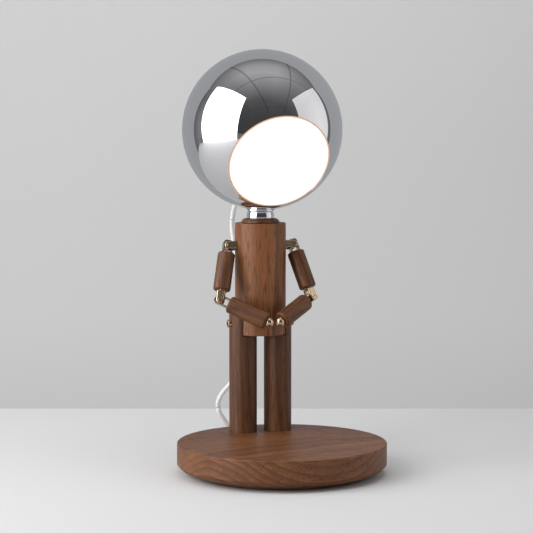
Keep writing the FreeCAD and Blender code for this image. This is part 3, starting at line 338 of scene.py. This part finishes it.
def walnut(name, way, middle, pith, tone=1.0, ring=0.0042):
    """Oiled walnut with its grain along way; pith is where the tree's heart lies, seen from middle."""
    finish = Finish(name)
    grain = finish.placed(way, middle)
    wander = finish.add("TexNoise", noise_dimensions="3D")
    wander.inputs["Scale"].default_value = 9.0
    wander.inputs["Detail"].default_value = 2.0
    long_way = finish.placed(way, middle, (1.0, 1.0, 0.28))
    finish.join(long_way, wander.inputs["Vector"])
    centred = finish.add("VectorMath", operation="SUBTRACT")
    finish.join(wander.outputs["Color"], centred.inputs[0])
    centred.inputs[1].default_value = (0.5, 0.5, 0.5)
    pushed = finish.add("VectorMath", operation="SCALE")
    finish.join(centred.outputs[0], pushed.inputs[0])
    pushed.inputs["Scale"].default_value = 0.034
    bent = finish.add("VectorMath", operation="ADD")
    finish.join(grain, bent.inputs[0])
    finish.join(pushed.outputs[0], bent.inputs[1])
    offset = finish.add("VectorMath", operation="SUBTRACT")
    finish.join(bent.outputs[0], offset.inputs[0])
    offset.inputs[1].default_value = way.to_track_quat("Z", "X").inverted() @ Vector(pith)
    rings = finish.add("TexWave", wave_type="RINGS", rings_direction="Z", wave_profile="SAW")
    rings.inputs["Scale"].default_value = 0.314 / ring
    rings.inputs["Distortion"].default_value = 1.2
    rings.inputs["Detail"].default_value = 2.0
    rings.inputs["Detail Scale"].default_value = 0.6
    finish.join(offset.outputs[0], rings.inputs["Vector"])
    fibre = finish.noise(finish.placed(way, middle, (1.0, 1.0, 0.035)), 620.0, 4.0, 0.6)
    streak = finish.noise(finish.placed(way, middle, (1.0, 1.0, 0.09)), 95.0, 3.0, 0.6)
    cloud = finish.noise(finish.placed(way, middle, (1.0, 1.0, 0.35)), 17.0, 2.0, 0.5)
    pores = finish.noise(finish.placed(way, middle, (1.0, 1.0, 0.05)), 1500.0, 1.0, 0.4)
    pore = finish.ramp(pores, [(0.30, 1.0), (0.42, 0.0)])
    early = finish.ramp(
        rings.outputs["Fac"],
        [
            (0.0, (0.330, 0.145, 0.058)),
            (0.5, (0.255, 0.106, 0.042)),
            (0.88, (0.115, 0.043, 0.018)),
            (1.0, (0.270, 0.114, 0.046)),
        ],
    )
    colour = finish.mix(finish.spread(streak, 0.35, 0.68, 0.0, 0.75), early, (0.125, 0.048, 0.020))
    colour = finish.mix(finish.spread(cloud, 0.45, 0.75, 0.0, 0.45), colour, (0.380, 0.180, 0.078))
    colour = finish.mix(finish.spread(fibre, 0.3, 0.7, 0.0, 0.5), colour, (0.155, 0.060, 0.025))
    colour = finish.mix(finish.sum(pore, 0.80, "MULTIPLY"), colour, (0.035, 0.014, 0.007))
    colour = finish.mix(1.0, colour, (tone * 1.10, tone * 0.96, tone * 0.78), "MULTIPLY")
    finish.join(colour, finish.surface.inputs["Base Color"])
    gloss = finish.spread(fibre, 0.25, 0.75, 0.36, 0.50)
    gloss = finish.sum(gloss, finish.sum(pore, 0.2, "MULTIPLY"))
    finish.join(gloss, finish.surface.inputs["Roughness"])
    height = finish.sum(finish.sum(fibre, 0.5, "MULTIPLY"), pore, "SUBTRACT")
    finish.raised(height, 0.00008, 0.5)
    finish.set(Specular_IOR_Level=0.38, Coat_Weight=0.05, Coat_Roughness=0.34)
    return finish.material


def polished(name, colour=(0.80, 0.80, 0.82), rough=0.018):
    """Mirror plating with a breath of haze where it has been wiped."""
    finish = Finish(name)
    haze = finish.noise(finish.coordinates, 38.0, 4.0, 0.65)
    wiped = finish.placed(Vector((0.4, 0.2, 1)).normalized(), stretch=(1, 1, 0.1))
    wipe = finish.noise(wiped, 160.0, 3.0, 0.6)
    hazed = finish.spread(haze, 0.45, 0.8, rough, rough + 0.03)
    wiped_more = finish.spread(wipe, 0.5, 0.9, 0.0, 0.02)
    finish.join(finish.sum(hazed, wiped_more), finish.surface.inputs["Roughness"])
    finish.join(
        finish.mix(finish.spread(haze, 0.4, 0.8, 0.0, 0.35), colour, tuple(c * 0.94 for c in colour)),
        finish.surface.inputs["Base Color"],
    )
    finish.set(Metallic=1.0)
    return finish.material


def metal(name, colour, dark, rough, grain=900.0, lines=None, bump=0.000015):
    """A worked metal: fine tool marks, cloudy tarnish, and a little unevenness."""
    finish = Finish(name)
    cloud = finish.noise(finish.coordinates, 150.0, 3.0, 0.6)
    fine = finish.noise(finish.placed(lines or Vector((0, 0, 1)), stretch=(1, 1, 0.12)), grain, 3.0, 0.6)
    tarnished = finish.mix(finish.spread(cloud, 0.40, 0.72, 0.0, 0.8), colour, dark)
    finish.join(tarnished, finish.surface.inputs["Base Color"])
    worked = finish.spread(fine, 0.2, 0.8, rough - 0.07, rough + 0.07)
    dulled = finish.spread(cloud, 0.4, 0.8, 0.0, 0.1)
    finish.join(finish.sum(worked, dulled), finish.surface.inputs["Roughness"])
    finish.raised(fine, bump, 0.4)
    finish.set(Metallic=1.0)
    return finish.material


def moulded(name, colour, rough=0.35, grain=900.0, bump=0.00003, coat=0.0, clear=0.0, soft=0.0):
    """Moulded plastic or rubber: a fine skin, slight mottling."""
    finish = Finish(name)
    skin = finish.noise(finish.coordinates, grain, 2.0, 0.5)
    cloud = finish.noise(finish.coordinates, 60.0, 3.0, 0.55)
    shade = tuple(c * 0.86 for c in colour)
    mottled = finish.mix(finish.spread(cloud, 0.35, 0.75, 0.0, 0.7), colour, shade)
    finish.join(mottled, finish.surface.inputs["Base Color"])
    grained = finish.spread(skin, 0.25, 0.75, rough - 0.05, rough + 0.07)
    dulled = finish.spread(cloud, 0.4, 0.8, 0.0, 0.06)
    finish.join(finish.sum(grained, dulled), finish.surface.inputs["Roughness"])
    finish.raised(skin, bump, 0.5)
    finish.set(Coat_Weight=coat, Transmission_Weight=clear, Subsurface_Weight=soft, Subsurface_Scale=0.002)
    return finish.material


def lit_opal(name):
    """The lit face: opal plastic that glows evenly, a little warmer and less strong at its rim."""
    finish = Finish(name)
    away = finish.add("VectorMath", operation="DISTANCE")
    finish.join(finish.coordinates, away.inputs[0])
    away.inputs[1].default_value = HEAD + FACE_WAY * FACE_DEPTH
    edge = finish.spread(away.outputs["Value"], 0.0455, 0.0490, 0.0, 1.0)
    grain = finish.noise(finish.coordinates, 500.0, 2.0, 0.5)
    glow = finish.mix(edge, (1.0, 0.985, 0.955), (1.0, 0.80, 0.62))
    finish.join(glow, finish.surface.inputs["Emission Color"])
    finish.join(finish.spread(edge, 0.0, 1.0, 1.45, 0.95), finish.surface.inputs["Emission Strength"])
    finish.join(finish.spread(grain, 0.2, 0.8, 0.35, 0.5), finish.surface.inputs["Roughness"])
    body = finish.mix(grain, (0.86, 0.84, 0.80), (0.82, 0.80, 0.76))
    finish.join(body, finish.surface.inputs["Base Color"])
    return finish.material


TWISTS_A_METRE = 28.0
CORES = 2


def clear_sheath(name):
    """Pale, slightly see-through cord sheath with two twisted cores showing faintly."""
    finish = Finish(name)
    chart = finish.add("UVMap", uv_map="along").outputs["UV"]
    parts = finish.add("SeparateXYZ")
    finish.join(chart, parts.inputs["Vector"])
    lay = finish.sum(finish.sum(parts.outputs["Y"], TWISTS_A_METRE, "MULTIPLY"), parts.outputs["X"])
    twist = finish.sum(lay, 2 * math.pi * CORES, "MULTIPLY")
    wave = finish.sum(twist, 0.0, "SINE")
    cores = finish.spread(wave, -0.2, 0.9, 0.0, 1.0)
    skin = finish.noise(finish.coordinates, 700.0, 2.0, 0.5)
    shade = finish.mix(finish.sum(cores, 0.30, "MULTIPLY"), (0.78, 0.78, 0.76), (0.68, 0.69, 0.68))
    finish.join(shade, finish.surface.inputs["Base Color"])
    finish.join(finish.spread(skin, 0.2, 0.8, 0.16, 0.26), finish.surface.inputs["Roughness"])
    finish.raised(skin, 0.00004, 0.3)
    finish.set(Subsurface_Weight=0.35, Subsurface_Scale=0.003, Coat_Weight=0.4, Coat_Roughness=0.08)
    return finish.material


# Each limb's grain direction and middle
LIMBS = {
    "upper_arm_left": ((-0.2334, -0.3310, -0.9143), (-0.0401, 0.0575, 0.1878)),
    "upper_arm_right": ((0.2334, -0.3310, -0.9143), (0.0401, 0.0575, 0.1878)),
    "forearm_left": ((0.7774, -0.4970, -0.3855), (-0.0262, 0.0352, 0.1522)),
    "forearm_right": ((-0.7774, -0.4970, -0.3855), (0.0262, 0.0352, 0.1522)),
}


def wear(node, material):
    """Every face of a piece takes one material."""
    piece = nodes[node] if isinstance(node, str) else node
    piece.data.materials.clear()
    piece.data.materials.append(material)
    return piece


# Name, grain direction, middle, heart, tone and ring width of each turned or planed piece
WOODS = {
    "base_disc": (
        "walnut_base", Vector((1, 0.12, 0.0)).normalized(), Vector((0, 0, 0.03)),
        (0.0, -0.03, -0.075), 0.74, 0.0062,
    ),
    "neck_cap": ("walnut_cap", Vector((1, 0.1, 0)).normalized(), BALL, (0.0, 0.03, -0.03), 0.66, 0.0040),
    "torso": ("walnut_torso", UP, Vector((0, 0.0667, 0.18)), (0.030, 0.045, 0.0), 0.98, 0.0075),
    "leg_left": ("walnut_left_leg", UP, Vector((-0.018, 0.0667, 0.08)), (-0.035, 0.03, 0.0), 0.50, 0.0052),
    "leg_right": ("walnut_right_leg", UP, Vector((0.018, 0.0667, 0.08)), (0.04, 0.02, 0.0), 0.54, 0.0056),
}
for node, timber in WOODS.items():
    wear(node, walnut(*timber))
for k, (node, (way, middle)) in enumerate(LIMBS.items()):
    heart = (0.02 - 0.012 * k, 0.03, 0.01 * k)
    wear(node, walnut("walnut_" + node, Vector(way), Vector(middle), heart, 0.58, 0.0042))

chrome = polished("mirror_chrome")
brass = metal("satin_brass", (0.70, 0.54, 0.36), (0.56, 0.41, 0.26), 0.20)
bright_brass = metal("turned_brass", (0.80, 0.62, 0.42), (0.70, 0.52, 0.33), 0.13, 700.0)
steel = metal("plated_steel", (0.60, 0.60, 0.60), (0.45, 0.45, 0.46), 0.30)
iron = metal("cast_weight", (0.10, 0.10, 0.10), (0.05, 0.05, 0.05), 0.55, 400.0, bump=0.0002)
aluminium = metal("cast_aluminium", (0.66, 0.67, 0.68), (0.52, 0.53, 0.54), 0.38, 500.0, bump=0.00005)
pins_metal = metal("plated_pins", (0.78, 0.77, 0.74), (0.62, 0.61, 0.58), 0.22)
white_paint = moulded("white_paint", (0.82, 0.82, 0.80), 0.45, 700.0)
pale_plastic = moulded("pale_plastic", (0.74, 0.74, 0.72), 0.30, 900.0, coat=0.2, soft=0.1)
rocker_plastic = moulded("rocker_plastic", (0.62, 0.62, 0.61), 0.26, 900.0, coat=0.3)
fitting_plastic = moulded("fitting_plastic", (0.74, 0.74, 0.73), 0.28, 900.0, coat=0.3, soft=0.3)
black_plastic = moulded("black_plastic", (0.025, 0.025, 0.027), 0.4, 700.0)
slip_plastic = moulded("slip_pad", (0.78, 0.77, 0.73), 0.4, 700.0)
rubber = moulded("foot_rubber", (0.03, 0.03, 0.032), 0.72, 500.0, 0.00015)
board = moulded("board", (0.80, 0.81, 0.78), 0.35, 600.0)
band = moulded("tie_band", (0.55, 0.55, 0.54), 0.4, 600.0)
sheath = clear_sheath("cord_sheath")
opal = lit_opal("lit_face")
# The light ring's copper-coloured metal gets a painted warm glow: an emission that makes it shine though
# it is no lamp.
copper_rim_painted_glow = metal("copper_rim_painted_glow", (0.95, 0.72, 0.58), (0.88, 0.62, 0.48), 0.30)
rim_painted_glow_surface = copper_rim_painted_glow.node_tree.nodes["Principled BSDF"]
rim_painted_glow_surface.inputs["Emission Color"].default_value = (1.0, 0.66, 0.48, 1.0)
rim_painted_glow_surface.inputs["Emission Strength"].default_value = 0.45

FINISHES = {
    "base_pad": rubber,
    "base_weight": iron,
    "leg_screws": steel,
    "neck_magnet": steel,
    "head_magnet": steel,
    "neck_pad": slip_plastic,
    "neck_ball": chrome,
    "neck_collar": chrome,
    "head_shell": chrome,
    "light_ring": copper_rim_painted_glow,
    "diffuser": opal,
    "light_pan": white_paint,
    "led_board": board,
    "heat_sink": aluminium,
    "led_driver": black_plastic,
    "cord_gland": fitting_plastic,
    "coil_tie": band,
    "switch_case": pale_plastic,
    "switch_rocker": rocker_plastic,
    "plug_body": pale_plastic,
    "plug_pins": pins_metal,
    "hip_screws": bright_brass,
    "hip_nut": brass,
    "hand_ball_left": bright_brass,
    "hand_ball_right": bright_brass,
}
for node in nodes:
    if node in FINISHES:
        wear(node, FINISHES[node])
    elif node not in WOODS and node not in LIMBS and not node.startswith("cord_"):
        wear(node, brass)

# Cords: the hanging pieces keep their place, the coil and the plug lead ride on the stand, and the model's
# own cord parts are hidden
for piece in cords:
    wear(piece, sheath)
top, upper, lower, coiled, to_plug = cords
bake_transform(top)
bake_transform(upper)
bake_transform(lower)
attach(coiled, "stand")
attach(to_plug, "stand")
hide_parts("cord_drop", "cord_coil", "cord_switch_lead")
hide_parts("cord_plug_lead")


# Head: a spun shell, cut for the face, the neck and the cord
def only(piece):
    bpy.ops.object.select_all(action="DESELECT")
    piece.select_set(True)
    bpy.context.view_layer.objects.active = piece


def settle(piece, name):
    piece.name = name
    piece.data.name = name
    only(piece)
    bpy.ops.object.transform_apply(location=True, rotation=True, scale=True)
    return piece


def head_shell():
    turn = (-FACE_WAY).to_track_quat("Z", "X").to_euler()
    bpy.ops.mesh.primitive_uv_sphere_add(
        segments=256, ring_count=144, radius=HEAD_RADIUS, location=HEAD, rotation=turn
    )
    shell = settle(bpy.context.object, "head_mirror")
    bpy.ops.object.mode_set(mode="EDIT")
    bpy.ops.mesh.select_all(action="SELECT")
    bpy.ops.mesh.bisect(plane_co=HEAD + FACE_WAY * FACE_DEPTH, plane_no=FACE_WAY, clear_outer=True)
    bpy.ops.object.mode_set(mode="OBJECT")
    thick = shell.modifiers.new("wall", "SOLIDIFY")
    thick.thickness = SHELL_WALL
    thick.offset = -1.0
    bpy.ops.object.modifier_apply(modifier=thick.name)
    for reach, way, start in (
        (NECK_HOLE, NECK_WAY, BALL + NECK_WAY * NECK_HOLE_UP),
        (CORD_HOLE, CORD_WAY, HEAD + CORD_WAY * HEAD_RADIUS),
    ):
        bpy.ops.mesh.primitive_cylinder_add(
            vertices=96, radius=reach, depth=HOLE_DEPTH,
            location=start, rotation=way.to_track_quat("Z", "X").to_euler(),
        )
        borer = bpy.context.object
        only(shell)
        hole = shell.modifiers.new("hole", "BOOLEAN")
        hole.operation = "DIFFERENCE"
        hole.object = borer
        hole.solver = "EXACT"
        bpy.ops.object.modifier_apply(modifier=hole.name)
        bpy.data.objects.remove(borer)
    only(shell)
    bpy.ops.object.shade_smooth_by_angle(angle=math.radians(30))
    return shell


shell = head_shell()
wear(shell, chrome)
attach(shell, "head")
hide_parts("head_shell")


def neck_ball():
    """The polished ball, with the flat that its magnet pulls on."""
    bpy.ops.object.select_all(action="DESELECT")
    bpy.ops.mesh.primitive_uv_sphere_add(segments=128, ring_count=96, radius=BALL_RADIUS, location=BALL)
    ball = settle(bpy.context.object, "neck_ball_polished")
    bpy.ops.object.mode_set(mode="EDIT")
    bpy.ops.mesh.select_all(action="SELECT")
    bpy.ops.mesh.bisect(plane_co=BALL - UP * BALL_FLAT, plane_no=-UP, clear_outer=True, use_fill=True)
    bpy.ops.object.mode_set(mode="OBJECT")
    bpy.ops.object.shade_smooth_by_angle(angle=math.radians(30))
    return ball


ball = neck_ball()
wear(ball, chrome)
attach(ball, "neck_nod")
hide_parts("neck_ball")


# Room: table, wall, light
VIEW_WAY = Vector((0.3107, 0.9505, 0.0))
VIEW_SIDE = Vector((0.9505, -0.3107, 0.0))


def plain(name, colour, mirrored=1.0):
    """Matt paint, a little mottled; mirrored is how bright polished metal shows it."""
    finish = Finish(name)
    finish.set(Roughness=0.9)
    mottle = finish.noise(finish.coordinates, 3.0, 2.0, 0.5)
    paint = finish.mix(mottle, colour, tuple(c * 0.97 for c in colour))
    seen = finish.mix(1.0, paint, (mirrored, mirrored, mirrored), "MULTIPLY")
    glossy = finish.add("LightPath").outputs["Is Glossy Ray"]
    finish.join(finish.mix(glossy, paint, seen), finish.surface.inputs["Base Color"])
    return finish


def slab(name, corners):
    mesh = bpy.data.meshes.new(name)
    mesh.from_pydata(corners, [], [tuple(range(len(corners)))])
    piece = bpy.data.objects.new(name, mesh)
    scene.collection.objects.link(piece)
    return piece


ROOM_HALF = 3
TABLE_NEAR = -3.2
TABLE_BACK = 0.383
WALL_BACK = 1.35
WALL_FOOT = -1.2
WALL_TOP = 2.6


def wall_paint():
    """Grey paint, seen from the room side only, and darker where polished metal mirrors it."""
    finish = plain("wall_grey", (0.72, 0.72, 0.72))
    mirrored = finish.add("Emission")
    mirrored.inputs["Color"].default_value = (0.36, 0.37, 0.385, 1.0)
    in_mirror = finish.add("MixShader")
    finish.join(finish.add("LightPath").outputs["Is Glossy Ray"], in_mirror.inputs[0])
    finish.join(finish.surface.outputs[0], in_mirror.inputs[1])
    finish.join(mirrored.outputs[0], in_mirror.inputs[2])
    one_sided = finish.add("MixShader")
    finish.join(finish.add("NewGeometry").outputs["Backfacing"], one_sided.inputs[0])
    finish.join(in_mirror.outputs[0], one_sided.inputs[1])
    finish.join(finish.add("BsdfTransparent").outputs[0], one_sided.inputs[2])
    finish.join(one_sided.outputs[0], finish.tree.nodes["Material Output"].inputs["Surface"])
    return finish.material


corners = ((-1, TABLE_NEAR), (1, TABLE_NEAR), (1, TABLE_BACK), (-1, TABLE_BACK))
table = slab("table", [VIEW_SIDE * s * ROOM_HALF + VIEW_WAY * d for s, d in corners])
wear(table, plain("table_white", (0.70, 0.70, 0.70), 0.70).material)
corners = ((-1, WALL_FOOT), (1, WALL_FOOT), (1, WALL_TOP), (-1, WALL_TOP))
wall = slab("wall", [VIEW_SIDE * s * ROOM_HALF + VIEW_WAY * WALL_BACK + UP * z for s, z in corners])
wear(wall, wall_paint())
wall.visible_shadow = False


def softbox(name, bearing, rise, away, wide, tall, power):
    """A lamp panel seen from the head at a bearing (right of the camera) and a rise, in degrees."""
    a, b = math.radians(bearing), math.radians(rise)
    way = (-VIEW_WAY * math.cos(a) + VIEW_SIDE * math.sin(a)) * math.cos(b) + UP * math.sin(b)
    data = bpy.data.lights.new(name, "AREA")
    data.shape = "RECTANGLE"
    data.size = wide
    data.size_y = tall
    data.energy = power
    lamp = bpy.data.objects.new(name, data)
    scene.collection.objects.link(lamp)
    lamp.location = HEAD + way * away
    lamp.rotation_euler = way.to_track_quat("Z", "Y").to_euler()
    lamp.visible_camera = False
    return lamp


softbox("window_left", -64, 12, 1.25, 1.45, 1.9, 29.0)
softbox("panel_right", 80, 8, 1.3, 1.25, 1.75, 4.4)
overhead = softbox("top_light", 20, 78, 1.5, 1.2, 1.2, 9.0)
overhead.visible_glossy = False

world = bpy.data.worlds.new("studio")
scene.world = world
world.use_nodes = True
sky = world.node_tree.nodes["Background"]
sky.inputs["Color"].default_value = (0.29, 0.29, 0.295, 1.0)
sky.inputs["Strength"].default_value = 1.0


def room_seen_in_chrome(tree, plain_light):
    """What polished metal mirrors: a dim room in front, a beamed ceiling, and pale walls behind."""
    add = tree.nodes.new
    join = tree.links.new

    def math_node(operation, *values):
        node = add("ShaderNodeMath")
        node.operation = operation
        for value, socket in zip(values, node.inputs):
            if isinstance(value, bpy.types.NodeSocket):
                join(value, socket)
            else:
                socket.default_value = value
        return node.outputs[0]

    def ramp(value, stops):
        node = add("ShaderNodeValToRGB")
        while len(node.color_ramp.elements) < len(stops):
            node.color_ramp.elements.new(0.5)
        for element, (at, tone) in zip(node.color_ramp.elements, stops):
            element.position = at
            element.color = (tone, tone, tone * 1.01, 1.0)
        join(value, node.inputs[0])
        return node.outputs[0]

    way = add("ShaderNodeTexCoord").outputs["Generated"]
    away = add("ShaderNodeVectorMath")
    away.operation = "DOT_PRODUCT"
    join(way, away.inputs[0])
    away.inputs[1].default_value = VIEW_WAY
    depth = ramp(
        math_node("MULTIPLY_ADD", away.outputs["Value"], 0.5, 0.5),
        [
            (0.0, 0.05), (0.14, 0.10), (0.36, 0.32), (0.5, 0.44), (0.62, 0.38),
            (0.74, 0.20), (0.82, 0.17), (0.88, 0.40), (1.0, 0.46),
        ],
    )
    parts = add("ShaderNodeSeparateXYZ")
    join(way, parts.inputs[0])
    height = math_node("MAXIMUM", parts.outputs["Z"], 0.02)
    across = math_node("DIVIDE", parts.outputs["X"], height)
    along = math_node("DIVIDE", parts.outputs["Y"], height)
    beams = math_node("LESS_THAN", math_node("PINGPONG", math_node("ADD", across, 0.30), 0.42), 0.018)
    joists = math_node("LESS_THAN", math_node("PINGPONG", math_node("ADD", along, 0.2), 0.7), 0.014)
    lines = math_node("MAXIMUM", beams, joists)
    side = add("ShaderNodeVectorMath")
    side.operation = "DOT_PRODUCT"
    join(way, side.inputs[0])
    side.inputs[1].default_value = VIEW_SIDE
    sideways = math_node("ABSOLUTE", side.outputs["Value"])
    flank = ramp(sideways, [(0.25, 1.0), (0.6, 0.62), (0.85, 0.42), (1.0, 0.6)])
    overhead = math_node("GREATER_THAN", parts.outputs["Z"], 0.42)
    lined = add("ShaderNodeMix")
    lined.data_type = "RGBA"
    lined.blend_type = "MULTIPLY"
    join(math_node("MULTIPLY", lines, overhead), lined.inputs[0])
    join(depth, lined.inputs[6])
    lined.inputs[7].default_value = (0.62, 0.62, 0.62, 1.0)
    room = add("ShaderNodeMix")
    room.data_type = "RGBA"
    room.blend_type = "MULTIPLY"
    room.inputs[0].default_value = 1.0
    join(lined.outputs[2], room.inputs[6])
    join(flank, room.inputs[7])
    seen = add("ShaderNodeMix")
    seen.data_type = "RGBA"
    join(add("ShaderNodeLightPath").outputs["Is Glossy Ray"], seen.inputs[0])
    seen.inputs[6].default_value = plain_light.default_value
    join(room.outputs[2], seen.inputs[7])
    join(seen.outputs[2], plain_light)


room_seen_in_chrome(world.node_tree, sky.inputs["Color"])

scene.view_settings.view_transform = "Standard"
